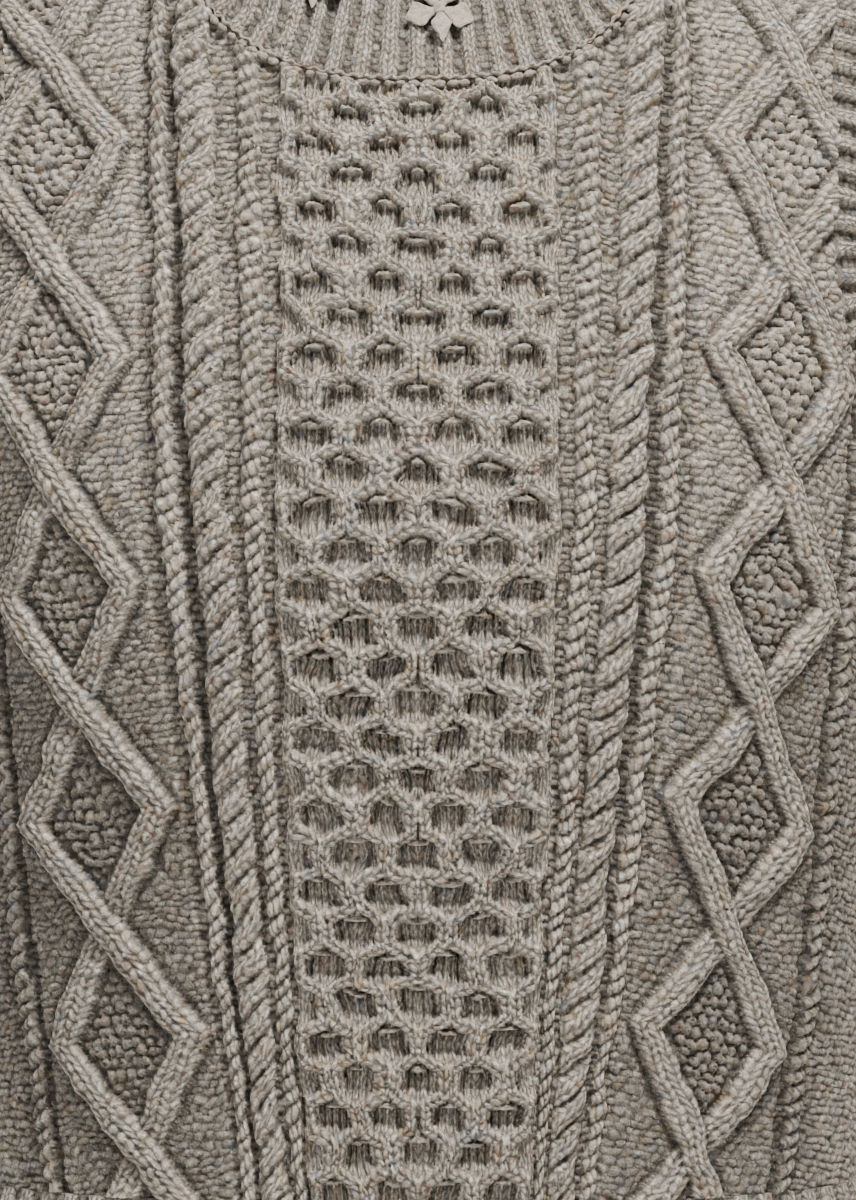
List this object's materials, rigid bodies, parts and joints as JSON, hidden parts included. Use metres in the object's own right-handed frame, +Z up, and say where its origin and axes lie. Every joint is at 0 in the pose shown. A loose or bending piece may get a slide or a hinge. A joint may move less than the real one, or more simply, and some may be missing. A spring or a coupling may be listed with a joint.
{
  "type": "sweater vest",
  "caption": "Worn sleeveless cabled wool pullover, open and hollow, with honeycomb, rope and diamond cables and a ribbed neckband.",
  "frame": {"origin": "midway between the two neck points, at the height of the shoulder ridge, where the garment hangs from its wearer", "axes": "+Z up, -Y out of the garment's front, +X towards its left side"},
  "size_m": [0.3929, 0.2183, 0.6374],
  "materials": {
    "panel_wool": "cabled oatmeal tweed wool",
    "welt_wool": "ribbed oatmeal tweed wool",
    "neckband_wool": "ribbed oatmeal tweed wool",
    "armhole_wool": "ribbed oatmeal tweed wool",
    "flower_wool": "smooth cream wool stitches"
  },
  "bodies": {
    "root": {"front": "panel_wool", "back": "panel_wool", "hem_rib_front": "welt_wool", "hem_rib_back": "welt_wool", "neckband": "neckband_wool", "armhole_band_left": "armhole_wool", "armhole_band_right": "armhole_wool", "flower_middle": "flower_wool", "flower_side": "flower_wool"}
  },
  "joints": []
}
